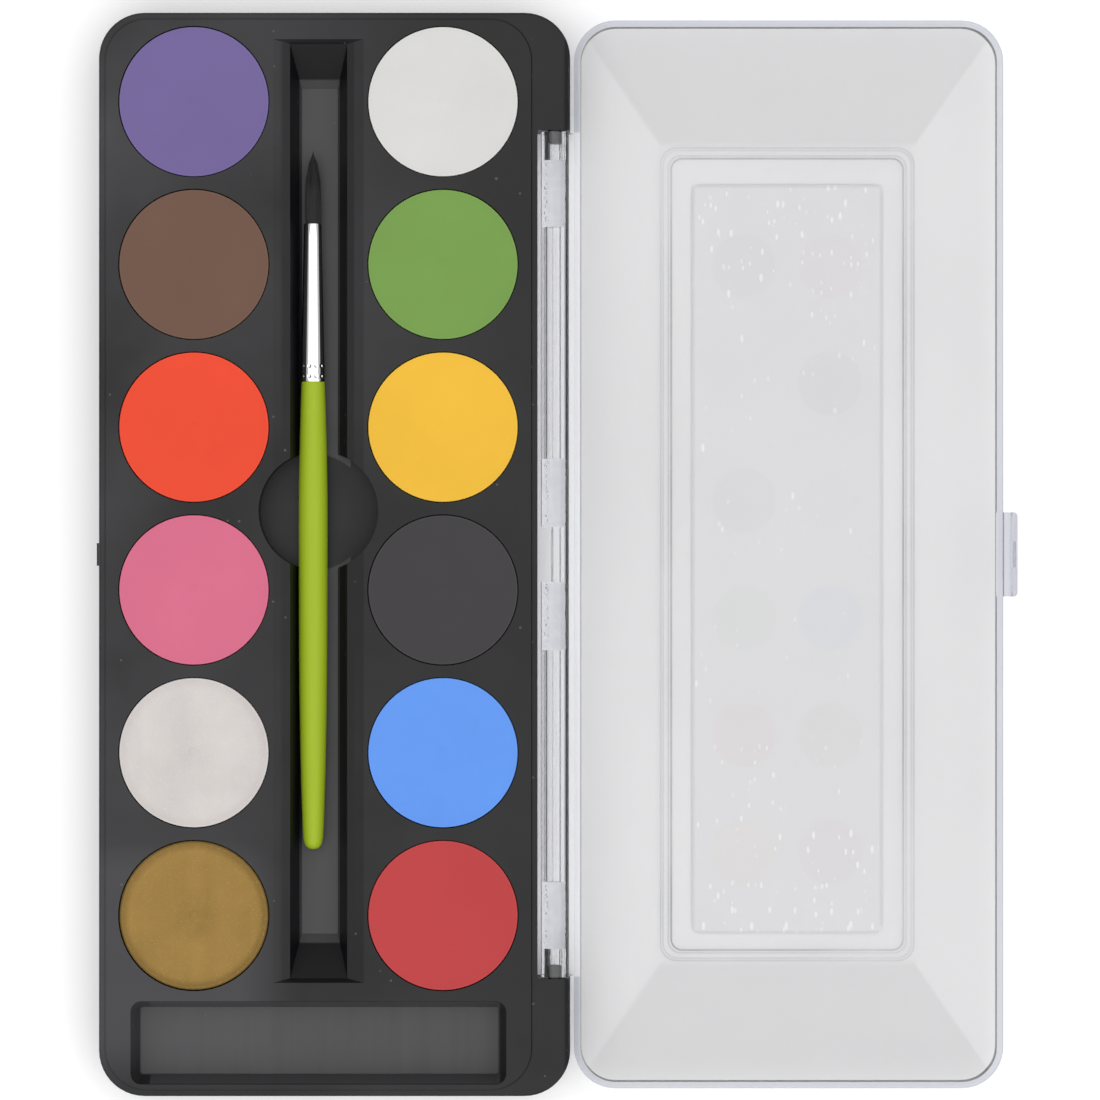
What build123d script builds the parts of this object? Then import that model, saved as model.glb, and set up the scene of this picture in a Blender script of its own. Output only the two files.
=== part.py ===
from build123d import *
import math
import os

os.makedirs("parts", exist_ok=True)

# Face paint palette, shown open: the clear lid is folded right back beside the black base.
# Millimetres. The hinge axis is the line x = 0, y runs along the palette, z = 0 is the table.

# Base, outside
base_length = 219.8
base_width = 95.6
base_corner = 9.3
deck_height = 13.0
deck_step = 0.6
border_width = 1.25
hinge_ledge = 7.75
deck_corner = 8.5
ledge_round = 2.0
edge_round = 0.5
deck_round = 0.35
skirt_wall = 1.5
skin = 1.2

# Paint wells and the pressed cakes in them
cake_radius = 15.0
cake_thickness = 5.0
cake_gap = 0.35
cake_sunk = 0.3
cake_edge_round = 0.4
cake_nub_radius = 0.9
cake_nub_height = 0.12
row_pitch = 33.0
column_spacing = 50.5
rows_shift = 9.3

# Brush slot with its sloping shelf, and the round finger recess across it
slot_shift = 8.8
shelf_width = 18.4
shelf_length = 191.3
shelf_drop = 1.2
slot_width = 11.6
slot_length = 189.6
slot_floor_width = 7.3
slot_floor_length = 172.3
slot_depth = 8.0
recess_radius = 12.15

# Mixing tray across the foot of the deck
tray_width = 76.2
tray_length = 16.9
tray_depth = 6.2
tray_corner = 2.2
tray_taper = 15.0
tray_margin = 2.45

# Hinge: two pins moulded on the base turn in the ends of the lid's hinge bar
hinge_overhang = 3.1
barrel_radius = 2.85
notch_clearance = 0.7
bar_length = 171.4
bar_end_gap = 0.4
pin_radius = 1.4
pin_length = 2.8
pin_clearance = 0.08
pin_tip_round = 0.3
socket_depth = 5.7
end_block_length = 19.3
middle_block_start = 5.6
middle_block_length = 13.8
trough_width = 3.0
trough_offset = -0.28
window_edge = -0.8
web_thickness = 1.3

# Lid
lid_gap = 0.75
lid_depth = 8.4
lid_corner = 8.5
lid_wall = 1.3
lid_wall_height = 3.8
lid_draft = 5.0
seat_gap = 0.2
panel_width = 52.0
panel_length = 166.5
panel_corner = 3.4
frame_width = 2.25
frame_rise = 0.4
frame_groove = 1.1

# Clasp: a tab on the lid with a window that snaps over a lug on the base
tab_width = 17.1
tab_wall = 1.0
tab_clearance = 0.2
tab_reach = 5.8
tab_root = 2.6
tab_corner = 0.9
lug_length = 4.6
lug_height = 1.8
lug_out = 0.6
lug_centre_height = 9.7
lug_clearance = 0.3

# Sticker in the recessed panel of the lid
label_width = 38.9
label_length = 153.2
label_corner = 1.5
label_thickness = 0.15
label_shift = -1.0

# Brush
brush_offset = -1.25
brush_head = 82.2
brush_rest_gap = 0.2
bristle_length = 14.9
ferrule_length = 32.2
handle_length = 95.1
ferrule_mouth_radius = 1.85
ferrule_end_radius = 2.55
ferrule_wall = 0.22
crimp_depth = 0.16
crimp_half_width = 0.5
crimp_places = (1.1, 3.2)
tenon_length = 9.0
tenon_clearance = 0.05
handle_start_radius = 2.37
handle_flare = 0.04
handle_belly_radius = 2.95
handle_belly_place = 28.0
handle_tail_radius = 2.14
handle_tail_place = 91.1
strand_count = 320
strand_share = 0.66
bundle_belly_radius = 1.68
bundle_belly_share = 0.3
bundle_end_radius = 1.25
tip_share = 0.45
tip_rounding = 1.8
bundle_backing = 0.6
strand_root = 0.1
golden_angle = 137.508

# Places that follow from the sizes
base_left = hinge_overhang - base_width
base_middle = hinge_overhang - base_width / 2
deck_left = base_left + border_width
deck_right = hinge_overhang - hinge_ledge
deck_middle = (deck_left + deck_right) / 2
deck_width = deck_right - deck_left
deck_length = base_length - 2 * border_width
ledge_height = deck_height - deck_step
hinge_height = (deck_height + seat_gap + lid_depth) / 2
notch_left = -(barrel_radius + notch_clearance)
notch_length = bar_length + 2 * bar_end_gap
well_radius = cake_radius + cake_gap
cake_floor = deck_height - cake_sunk - cake_thickness
slot_floor = deck_height - slot_depth
shelf_height = deck_height - shelf_drop
tray_floor = deck_height - tray_depth
tray_middle_y = -deck_length / 2 + tray_margin + tray_length / 2 - border_width
lid_left = hinge_overhang + lid_gap
lid_right = -deck_left
lid_width = lid_right - lid_left
lid_middle = (lid_left + lid_right) / 2
lid_length = deck_length
tab_inner = -base_left + tab_clearance
tab_outer = tab_inner + tab_wall
brush_x = deck_middle + brush_offset
brush_height = slot_floor + brush_rest_gap + handle_belly_radius

colours = [
    ("purple", "white"),
    ("brown", "green"),
    ("orange", "yellow"),
    ("pink", "black"),
    ("silver", "blue"),
    ("gold", "red"),
]


def well_centres():
    """Centres of the wells in plan, row by row from the head of the palette."""
    first = rows_shift + row_pitch * (len(colours) - 1) / 2
    rows = [first - row_pitch * number for number in range(len(colours))]
    columns = (deck_middle - column_spacing / 2, deck_middle + column_spacing / 2)
    return [(x, y) for y in rows for x in columns]


def level(height, x=0.0, y=0.0):
    """A horizontal plane at a height, centred on a point in plan."""
    return Plane(origin=(x, y, height))


def across(y, height=0.0, x=0.0):
    """An upright plane whose sketch has x to the right and z up, facing the foot of the palette."""
    return Plane(origin=(x, y, height), x_dir=(1, 0, 0), z_dir=(0, -1, 0))


# Hollow under the base, left between the skirt, the deck and the cups of the wells
with BuildPart() as hollow:
    with BuildSketch(level(0, base_middle)):
        RectangleRounded(
            base_width - 2 * skirt_wall, base_length - 2 * skirt_wall, base_corner - skirt_wall
        )
    extrude(amount=ledge_height - skirt_wall)
    with BuildSketch(level(cake_floor - skin)):
        with Locations(*well_centres()):
            Circle(well_radius + skin)
    extrude(amount=deck_height, mode=Mode.SUBTRACT)
    with BuildSketch(level(slot_floor - skin, deck_middle, slot_shift)):
        Rectangle(slot_floor_width + 2 * skin, slot_floor_length + 2 * skin)
    with BuildSketch(level(shelf_height, deck_middle, slot_shift)):
        Rectangle(slot_width + 2 * skin, slot_length + 2 * skin)
    loft(mode=Mode.SUBTRACT)
    with BuildSketch(level(slot_floor - skin, deck_middle, slot_shift)):
        Circle(recess_radius + skin)
    extrude(amount=deck_height, mode=Mode.SUBTRACT)
    with BuildSketch(level(tray_floor - skin, deck_middle, tray_middle_y)):
        RectangleRounded(tray_width + 2 * skin, tray_length + 2 * skin, tray_corner + skin)
    extrude(amount=deck_height, mode=Mode.SUBTRACT)
    with BuildSketch(level(0, notch_left - skirt_wall)):
        Rectangle(
            base_width, notch_length + 2 * skirt_wall, align=(Align.MIN, Align.CENTER)
        )
    extrude(amount=deck_height, mode=Mode.SUBTRACT)

# One hinge pin, rooted in the skirt and rounded at its tip
with BuildPart() as pin:
    with BuildSketch(level(0)):
        Circle(pin_radius)
    extrude(amount=skirt_wall / 2 + pin_length)
    fillet(pin.faces().sort_by(Axis.Z)[-1].edges(), pin_tip_round)

# Black base: a shell with a raised deck, twelve wells, the brush slot and the mixing tray
with BuildPart() as base_tray:
    with BuildSketch(level(0, base_middle)):
        RectangleRounded(base_width, base_length, base_corner)
    extrude(amount=ledge_height)
    fillet(base_tray.faces().sort_by(Axis.Z)[-1].edges(), edge_round)
    with BuildSketch(across(base_length / 2)):
        with Locations((hinge_overhang, ledge_height)):
            Rectangle(ledge_round, ledge_round, align=(Align.MAX, Align.MAX))
        with Locations((hinge_overhang - ledge_round, ledge_height - ledge_round)):
            Circle(ledge_round, mode=Mode.SUBTRACT)
    extrude(amount=base_length, mode=Mode.SUBTRACT)
    with BuildSketch(level(ledge_height - deck_step, deck_middle)):
        RectangleRounded(deck_width, deck_length, deck_corner)
    extrude(amount=2 * deck_step)
    fillet(base_tray.faces().sort_by(Axis.Z)[-1].edges(), deck_round)
    with BuildSketch(level(cake_floor)):
        with Locations(*well_centres()):
            Circle(well_radius)
    extrude(amount=deck_height, mode=Mode.SUBTRACT)
    with BuildSketch(level(deck_height, deck_middle, slot_shift)):
        Rectangle(shelf_width, shelf_length)
    with BuildSketch(level(shelf_height, deck_middle, slot_shift)):
        Rectangle(slot_width, slot_length)
    loft(mode=Mode.SUBTRACT)
    with BuildSketch(level(shelf_height, deck_middle, slot_shift)):
        Rectangle(slot_width, slot_length)
    with BuildSketch(level(slot_floor, deck_middle, slot_shift)):
        Rectangle(slot_floor_width, slot_floor_length)
    loft(mode=Mode.SUBTRACT)
    with BuildSketch(level(slot_floor, deck_middle, slot_shift)):
        Circle(recess_radius)
    extrude(amount=deck_height, mode=Mode.SUBTRACT)
    with BuildSketch(level(deck_height, deck_middle, tray_middle_y)):
        RectangleRounded(tray_width, tray_length, tray_corner)
    extrude(amount=-tray_depth, taper=tray_taper, mode=Mode.SUBTRACT)
    with BuildSketch(level(0, notch_left)):
        Rectangle(base_width, notch_length, align=(Align.MIN, Align.CENTER))
    extrude(amount=2 * deck_height, mode=Mode.SUBTRACT)
    add(hollow.part, mode=Mode.SUBTRACT)
    for end in (1, -1):
        pin_plane = Plane(
            origin=(0, end * (notch_length / 2 + skirt_wall / 2), hinge_height), z_dir=(0, -end, 0)
        )
        with Locations(pin_plane.location):
            add(pin.part)
    with BuildSketch(across(lug_length / 2, lug_centre_height)):
        with BuildLine():
            Polyline(
                (base_left + skirt_wall / 2, lug_height / 2),
                (base_left, lug_height / 2),
                (base_left - lug_out, lug_height / 2 - lug_out),
                (base_left - lug_out, -lug_height / 2),
                (base_left + skirt_wall / 2, -lug_height / 2),
                close=True,
            )
        make_face()
    extrude(amount=lug_length)
base_tray.part.label = "base_tray"
export_step(base_tray.part, "parts/base_tray.step")

# One paint cake, pressed flush with a small moulding nub at its centre
with BuildPart() as cake:
    with BuildSketch(level(cake_floor)):
        Circle(cake_radius)
    extrude(amount=cake_thickness)
    fillet(cake.faces().sort_by(Axis.Z)[-1].edges(), cake_edge_round)
    nub_base = level(cake_floor + cake_thickness)
    with BuildSketch(nub_base):
        Circle(cake_nub_radius)
    extrude(amount=cake_nub_height, taper=45)

names = [name for pair in colours for name in pair]
for name, (x, y) in zip(names, well_centres()):
    with BuildPart() as paint:
        with Locations((x, y, 0)):
            add(cake.part)
    paint.part.label = "paint_" + name
    export_step(paint.part, "parts/paint_" + name + ".step")


def hip_block(part_plane_drop, inset, taper):
    """Lid form from its panel up to its rim: hipped slopes cut by a column with round corners.

    A drop of one wall upwards and an inset of one wall give the inside of the lid.
    """
    with BuildPart() as block:
        panel_level = frame_rise + part_plane_drop
        eave_level = lid_depth - lid_wall_height + part_plane_drop
        with BuildSketch(level(panel_level, lid_middle)):
            Rectangle(panel_width, panel_length)
        with BuildSketch(level(eave_level, lid_middle)):
            Rectangle(lid_width, lid_length)
        loft()
        with BuildSketch(level(eave_level, lid_middle)):
            Rectangle(lid_width, lid_length)
        extrude(amount=lid_depth - eave_level)
        with BuildSketch(level(lid_depth, lid_middle)):
            RectangleRounded(lid_width - 2 * inset, lid_length - 2 * inset, lid_corner - inset)
        extrude(amount=-lid_depth, taper=taper, mode=Mode.INTERSECT)
    return block.part


slope_wall = lid_wall / math.cos(
    math.atan2(lid_depth - lid_wall_height - frame_rise, (lid_width - panel_width) / 2)
)
lid_outside = hip_block(0, 0, 0)
lid_inside = hip_block(slope_wall, lid_wall, lid_draft)

# Hinge bar of the lid: an open trough between solid blocks, with a socket in each end
with BuildPart() as hinge_bar:
    with BuildSketch(across(bar_length / 2, hinge_height)):
        Circle(barrel_radius)
        corner = barrel_radius * math.sqrt(0.5)
        rim_drop = hinge_height - lid_depth
        web_drop = rim_drop + web_thickness
        with BuildLine():
            Polyline(
                (-corner, -corner),
                (web_drop - 2 * corner, -web_drop),
                (lid_left + lid_wall / 2, -web_drop),
                (lid_left + lid_wall / 2, -rim_drop),
                (corner, -corner),
                (0, 0),
                close=True,
            )
        make_face()
    extrude(amount=bar_length)
    trough_start = middle_block_start + middle_block_length
    trough_stop = bar_length / 2 - end_block_length
    for upper_end in (trough_stop, -trough_start):
        with BuildSketch(across(upper_end, hinge_height, trough_offset)):
            Circle(trough_width / 2)
            Rectangle(trough_width, 2 * barrel_radius, align=(Align.CENTER, Align.MIN))
        extrude(amount=trough_stop - trough_start, mode=Mode.SUBTRACT)
    with BuildSketch(across(middle_block_start, hinge_height, trough_offset)):
        Circle(trough_width / 2)
        Rectangle(trough_width, 2 * barrel_radius, align=(Align.CENTER, Align.MIN))
        with Locations((window_edge - trough_offset, 0)):
            Rectangle(3 * barrel_radius, 8 * barrel_radius, align=(Align.MAX, Align.CENTER))
    extrude(amount=2 * middle_block_start, mode=Mode.SUBTRACT)
    for end in (1, -1):
        socket_plane = Plane(origin=(0, end * bar_length / 2, hinge_height), z_dir=(0, -end, 0))
        with BuildSketch(socket_plane):
            Circle(pin_radius + pin_clearance)
        extrude(amount=socket_depth, mode=Mode.SUBTRACT)

# Clear lid, folded back with its inside up: hipped shell, panel frame, hinge bar and clasp tab
with BuildPart() as lid:
    add(lid_outside)
    with BuildSketch(level(0, lid_middle)):
        RectangleRounded(panel_width, panel_length, panel_corner)
        RectangleRounded(
            panel_width - 2 * frame_width,
            panel_length - 2 * frame_width,
            panel_corner - frame_width / 2,
            mode=Mode.SUBTRACT,
        )
    extrude(amount=frame_rise + lid_wall / 2)
    add(lid_inside, mode=Mode.SUBTRACT)
    with BuildSketch(level(frame_rise + slope_wall, lid_middle)):
        groove_inset = (frame_width - frame_groove) / 2
        RectangleRounded(
            panel_width - 2 * groove_inset,
            panel_length - 2 * groove_inset,
            panel_corner - groove_inset,
        )
        RectangleRounded(
            panel_width - 2 * groove_inset - 2 * frame_groove,
            panel_length - 2 * groove_inset - 2 * frame_groove,
            panel_corner - groove_inset - frame_groove,
            mode=Mode.SUBTRACT,
        )
    extrude(amount=-frame_rise, mode=Mode.SUBTRACT)
    add(hinge_bar.part)
    with BuildSketch(across(tab_width / 2, lid_depth)):
        with BuildLine():
            Polyline(
                (lid_right - lid_wall / 2, 0),
                (tab_inner, 0),
                (tab_inner, tab_reach),
                (tab_outer, tab_reach),
                (tab_outer, -tab_root / 2),
                (lid_right, -tab_root),
                (lid_right - lid_wall / 2, -tab_root),
                close=True,
            )
        make_face()
    extrude(amount=tab_width)
    fillet(lid.edges().filter_by(Axis.Z).group_by(Axis.X)[-1], tab_corner)
    window_height = 2 * hinge_height - lug_centre_height
    window_plane = Plane(
        origin=(tab_inner - tab_wall / 2, 0, window_height), x_dir=(0, 1, 0), z_dir=(1, 0, 0)
    )
    with BuildSketch(window_plane):
        Rectangle(lug_length + 2 * lug_clearance, lug_height + 2 * lug_clearance)
    extrude(amount=2 * tab_wall, mode=Mode.SUBTRACT)
lid.part.label = "lid"
export_step(lid.part, "parts/lid.step")

# Sticker on the outside of the lid's panel, within the raised frame
with BuildPart() as lid_label:
    with BuildSketch(level(frame_rise - label_thickness, lid_middle, label_shift)):
        RectangleRounded(label_width, label_length, label_corner)
    extrude(amount=label_thickness)
lid_label.part.label = "lid_label"
export_step(lid_label.part, "parts/lid_label.step")

# Brush: each piece is turned about the brush axis, which runs from the tip towards the foot
mouth_y = brush_head - bristle_length
joint_y = mouth_y - ferrule_length
ferrule_slope = (ferrule_end_radius - ferrule_mouth_radius) / ferrule_length
brush_axis = Axis((brush_x, 0, brush_height), (0, -1, 0))


def turned(y):
    """Sketch plane through the brush axis: x away from the axis, y towards the brush's tail."""
    return Plane(origin=(brush_x, y, brush_height), x_dir=(1, 0, 0), z_dir=(0, 0, -1))


def ferrule_radius(along):
    """Outer radius of the ferrule at a distance from its mouth."""
    return ferrule_mouth_radius + ferrule_slope * along


bore_mouth = ferrule_mouth_radius - ferrule_wall
bore_end = ferrule_end_radius - ferrule_wall

with BuildPart() as brush_ferrule:
    with BuildSketch(turned(mouth_y)):
        with BuildLine():
            outer = [(ferrule_radius(0), 0)]
            for place in sorted(crimp_places, reverse=True):
                middle = ferrule_length - place
                start, stop = middle - crimp_half_width, middle + crimp_half_width
                Line(outer[-1], (ferrule_radius(start), start))
                ThreePointArc(
                    (ferrule_radius(start), start),
                    (ferrule_radius(middle) - crimp_depth, middle),
                    (ferrule_radius(stop), stop),
                )
                outer.append((ferrule_radius(stop), stop))
            Polyline(
                outer[-1],
                (ferrule_end_radius, ferrule_length),
                (bore_end, ferrule_length),
                (bore_mouth, 0),
                outer[0],
            )
        make_face()
    revolve(axis=brush_axis)
brush_ferrule.part.label = "brush_ferrule"
export_step(brush_ferrule.part, "parts/brush_ferrule.step")

with BuildPart() as brush_handle:
    tenon_tip = bore_end - ferrule_slope * tenon_length - tenon_clearance
    with BuildSketch(turned(joint_y)):
        with BuildLine():
            Polyline(
                (0, -tenon_length),
                (tenon_tip, -tenon_length),
                (bore_end - tenon_clearance, 0),
                (handle_start_radius, 0),
            )
            Spline(
                (handle_start_radius, 0),
                (handle_belly_radius, handle_belly_place),
                tangents=((handle_flare, 1), (0, 1)),
            )
            Spline(
                (handle_belly_radius, handle_belly_place),
                (handle_tail_radius, handle_tail_place),
                tangents=((0, 1), (-handle_flare, 1)),
            )
            Spline(
                (handle_tail_radius, handle_tail_place),
                (0, handle_length),
                tangents=((-handle_flare, 1), (-1, 0)),
            )
            Line((0, handle_length), (0, -tenon_length))
        make_face()
    revolve(axis=brush_axis)
brush_handle.part.label = "brush_handle"
export_step(brush_handle.part, "parts/brush_handle.step")

# Bristles: strands on a sunflower spiral that keep their order from root to tip, so none cross
bundle_root_radius = bore_mouth - tenon_clearance
strand_root_scale = bundle_root_radius * (1 - strand_share / math.sqrt(strand_count))


def bundle_radius(share):
    """Radius of the whole bundle's spiral at a share of the bristles' length."""
    if share < bundle_belly_share:
        swell = share / bundle_belly_share
        return strand_root_scale + swell * (bundle_belly_radius - strand_root_scale)
    fall = (share - bundle_belly_share) / (1 - bundle_belly_share)
    return bundle_belly_radius + fall * (bundle_end_radius - bundle_belly_radius)


def strand(number):
    """One three-sided strand. Outer strands end sooner, which brings the brush to a point."""
    place = math.sqrt((number + 0.5) / strand_count)
    angle = math.radians(golden_angle * number)
    end_share = 1 - tip_share * place**tip_rounding
    rings = []
    for share in (-strand_root / bristle_length, bundle_belly_share, end_share):
        scale = bundle_radius(max(share, 0))
        centre_x = brush_x + place * scale * math.cos(angle)
        centre_z = brush_height + place * scale * math.sin(angle)
        half = strand_share * scale / math.sqrt(strand_count)
        rings.append(
            Wire.make_polygon(
                [
                    (
                        centre_x + half * math.cos(angle + turn),
                        mouth_y + share * bristle_length,
                        centre_z + half * math.sin(angle + turn),
                    )
                    for turn in (0, math.tau / 3, 2 * math.tau / 3)
                ],
                close=True,
            )
        )
    return Solid.make_loft(rings, ruled=True)


with BuildPart() as brush_bristles:
    with BuildSketch(Plane(origin=(brush_x, mouth_y - bundle_backing, brush_height), z_dir=(0, 1, 0))):
        Circle(bundle_root_radius - ferrule_slope)
    extrude(amount=bundle_backing)
    add([strand(number) for number in range(strand_count)])
brush_bristles.part.label = "brush_bristles"
export_step(brush_bristles.part, "parts/brush_bristles.step")
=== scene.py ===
"""Looks for an open face paint palette: black base with twelve cakes, a brush and a clear hinged lid."""

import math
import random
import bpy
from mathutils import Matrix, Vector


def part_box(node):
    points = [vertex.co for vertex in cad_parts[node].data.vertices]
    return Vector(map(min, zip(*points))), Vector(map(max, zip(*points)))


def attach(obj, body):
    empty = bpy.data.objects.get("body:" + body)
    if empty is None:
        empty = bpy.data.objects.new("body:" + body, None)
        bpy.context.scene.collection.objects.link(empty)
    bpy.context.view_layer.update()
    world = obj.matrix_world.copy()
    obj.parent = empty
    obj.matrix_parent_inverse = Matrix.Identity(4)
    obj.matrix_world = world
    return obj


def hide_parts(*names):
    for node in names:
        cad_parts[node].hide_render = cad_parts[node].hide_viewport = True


bl_info = {
    "name": "Face Paint Palette",
    "version": (1, 0, 0),
    "blender": (4, 5, 0),
    "location": "View3D > Sidebar > Palette",
    "description": "Finishes an open face paint palette with its cakes, brush and clear lid",
    "category": "Object",
}

import bmesh
import bpy
from bpy.props import FloatProperty, FloatVectorProperty, IntProperty, PointerProperty
from mathutils import Vector

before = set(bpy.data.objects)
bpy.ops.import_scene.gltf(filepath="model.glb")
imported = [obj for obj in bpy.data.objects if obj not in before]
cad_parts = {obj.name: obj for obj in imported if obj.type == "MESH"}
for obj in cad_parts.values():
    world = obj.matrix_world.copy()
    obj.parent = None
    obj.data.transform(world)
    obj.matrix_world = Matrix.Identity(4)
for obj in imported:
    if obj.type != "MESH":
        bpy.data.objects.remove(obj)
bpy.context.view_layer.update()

MM = 0.001
WELD = 0.000001

# Places on the palette, in millimetres. A box is given by its low and its high corner, and the recess
# by its middle and by where its edge starts and ends.
PANEL_MIDDLE = 47.55
PANEL_SIZE = (52.0, 166.5)
PANEL_CORNER = 3.4
LABEL_CORNER = 1.5
SHEET_HEIGHT = 10.0
BORDER_INSET = 2.0
BORDER_WIDTH = 0.9
LID_WIDTH = 87.4
LID_CORNER = 8.5
BASE_ACROSS = (-95.0, -4.0)
SLOT_WALLS = ((-58.0, -100.0, 5.6), (-40.5, 104.0, 12.6))
SLOT_FLOOR = ((-57.0, -88.0, 4.0), (-41.5, 100.0, 6.6))
TRAY_FLOOR = ((-86.0, -107.0, 6.0), (-9.0, -91.0, 7.6))
TRAY_WALLS = ((-82.4, -108.5, 6.0), (-11.0, -89.5, 12.7))
# Box of the hazy painted reflection on the deck
DECK_PAINTED_REFLECTION = ((-112.0, -112.0, -20.0), (-50.0, -50.0, 50.0))
RECESS = (-49.6, 8.6, 11.8, 12.2)
HINGE_BAR = ((-4.5, -86.2, -1.0), (5.4, 86.2, 14.0))
HINGE_BLOCKS_ALONG = ((66.4, 85.8), (5.6, 19.4), (-19.4, -5.6), (-85.8, -66.4))
HINGE_BLOCKS_ACROSS = (-3.2, 3.4)
HINGE_BLOCKS_HEIGHT = (6.5, 14.0)
FRAME_GLINTS = ((0.1, 0.35), (0.58, 0.3), (1.68, 0.4), (2.25, 0.9))
GLINT_WIDTH = 0.34
RIM_START = 1.6
RIM_FULL = 0.6

# Tones and shares that no setting holds
GLINT_TONE = (0.32, 0.32, 0.34)
DUST_TONE = (0.12, 0.12, 0.12)
LINE_TONE = (0.5, 0.5, 0.52)
FIBRE_TONE = (0.5, 0.5, 0.5)
CREASE_TONE = (1.0, 1.0, 1.0)
PEARLY = 0.3
STREAK_STRETCH = 0.035
# Painted sheen on the deck: strength of its mottle from the left to the right of the base
PAINTED_SHEEN_DRIFT = (1.15, 0.1)
HIP_BLEND = (-0.02, 0.06)
DAB_ROWS = 6

COLOURS = (
    "purple",
    "white",
    "brown",
    "green",
    "orange",
    "yellow",
    "pink",
    "black",
    "silver",
    "blue",
    "gold",
    "red",
)


def shade(name, description, default):
    """A colour that a user may change."""
    return FloatVectorProperty(
        name=name, description=description, default=default, subtype="COLOR", size=3, min=0.0, max=1.0
    )


def cake_shade(name, default):
    """The colour of one cake."""
    return shade(name.capitalize(), "Colour of the " + name + " cake", default)


def length(name, description, millimetres):
    """A length that a user may change."""
    return FloatProperty(
        name=name, description=description, default=millimetres * MM, unit="LENGTH", precision=5
    )


def share(name, description, default, low=0.0, high=1.0):
    """A plain factor that a user may change."""
    return FloatProperty(
        name=name, description=description, default=default, subtype="FACTOR", min=low, max=high
    )


class StageSettings(bpy.types.PropertyGroup):
    floor_size: length("Floor size", "Width of the square floor", 4000.0)
    floor_colour: shade("Floor colour", "Colour of the pale floor", (0.96, 0.96, 0.965))
    floor_lift: share("Floor lift", "Glow that brings the seen floor to page white", 0.1)
    floor_drop: length("Floor drop", "Gap that keeps the lid's frame clear of the floor", 0.1)
    camera_x: length("Camera across", "Place of the camera across the palette", -1.0)
    camera_y: length("Camera along", "Place of the camera along the palette", 0.9)
    camera_height: length("Camera height", "Height of the camera over the floor", 1207.0)
    picture_width: length("Picture width", "Width of the picture at the deck", 222.97)
    world_light: share("World light", "Strength of the light from all round", 0.56, 0.0, 2.0)
    lamp_light: FloatProperty(
        name="Lamp light", description="Power of the soft lamp overhead", default=31.5, unit="POWER"
    )
    lamp_size: length("Lamp size", "Width of the soft lamp overhead", 3200.0)
    lamp_place: FloatVectorProperty(
        name="Lamp place",
        description="Place of the soft lamp overhead",
        default=(0.12, -0.3, 1.5),
        subtype="TRANSLATION",
        size=3,
    )


class BaseSettings(bpy.types.PropertyGroup):
    colour: shade("Base colour", "Colour of the moulded base", (0.003, 0.003, 0.0042))
    # Partly painted sheen: the deck's broad mottle and its painted reflection mix towards this colour
    mottle_tone: shade("Worn colour", "Colour where the plastic is rubbed or dusty", (0.04, 0.0395, 0.043))
    satin: shade("Satin floors", "Colour of the floors of the slot and the tray", (0.072, 0.071, 0.074))
    roughness: share("Base roughness", "Satin of the moulded base", 0.4)
    grain_height: length("Base grain", "Depth of the moulded grain", 0.006)


class CakeSettings(bpy.types.PropertyGroup):
    purple: cake_shade("purple", (0.1674, 0.1256, 0.3116))
    white: cake_shade("white", (0.6696, 0.665, 0.651))
    brown: cake_shade("brown", (0.1562, 0.0874, 0.0614))
    green: cake_shade("green", (0.1767, 0.3255, 0.0744))
    orange: cake_shade("orange", (0.8091, 0.0698, 0.0298))
    yellow: cake_shade("yellow", (0.837, 0.4836, 0.0437))
    pink: cake_shade("pink", (0.651, 0.1488, 0.2465))
    black: cake_shade("black", (0.0512, 0.0484, 0.0512))
    silver: cake_shade("silver", (0.6138, 0.5766, 0.558))
    blue: cake_shade("blue", (0.1209, 0.3069, 0.837))
    gold: cake_shade("gold", (0.308, 0.188, 0.048))
    red: cake_shade("red", (0.4929, 0.053, 0.0558))
    edge_round: length("Edge round", "Rounding of a cake's upper edge", 0.22)
    swell: length("Swell", "How far a pressed cake swells into the play of its well", 0.18)
    rim_width: length("Rim width", "Width of the low rim that the press leaves", 0.9)
    nub_radius: length("Nub radius", "Radius of the small nub at the centre", 0.9)
    roughness: share("Cake roughness", "Roughness of the pressed paint", 0.55)


class LidSettings(bpy.types.PropertyGroup):
    tint: shade("Lid tint", "Tint of the clear plastic", (0.755, 0.752, 0.747))
    thick: shade("Thick tint", "Tint of the hinge bar", (0.97, 0.97, 0.975))
    # Painted light: a paler tint over the sticker makes the sticker read brighter
    painted_sticker_light: shade("Backed tint", "Tint where the sticker backs the plastic", (0.835, 0.832, 0.828))
    # Painted shade: the rim tint darkens the rim, where the wall is seen along its length
    rim: shade("Rim tint", "Tint of the rim, where the plastic is seen along its wall", (0.62, 0.63, 0.7))
    shadow: shade("Lid shadow", "Share of lamp light that each face lets through", (0.9, 0.9, 0.905))
    depth: shade("Depth tint", "Tint that long ways through the plastic take on", (0.45, 0.47, 0.62))
    density: FloatProperty(
        name="Depth density", description="Absorption per metre of plastic", default=36.0
    )
    roughness: share("Lid roughness", "Haze of the clear plastic", 0.02)
    wave_height: length("Lid waves", "Depth of the moulding waves", 0.0012)
    wrinkle_height: length("Wrinkles", "Depth of the wrinkles where the plastic is thick", 0.07)


class LabelSettings(bpy.types.PropertyGroup):
    paper: shade("Paper", "Colour of the sticker's back", (0.83, 0.83, 0.835))
    bubble: shade("Bubble", "Colour of the air bubbles under the sticker", (1.0, 1.0, 1.0))
    border: shade("Border", "Colour of the printed border", (0.62, 0.12, 0.28))
    film_gap: length("Film gap", "Air film between the sticker and the lid", 0.03)
    dab_radius: length("Dab radius", "Radius of a printed dab of colour", 6.6)
    dab_pitch: length("Dab pitch", "Distance from one row of printed dabs to the next", 24.0)
    dab_offset: length("Dab offset", "Distance of a printed dab from the middle of the sticker", 8.8)


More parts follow.
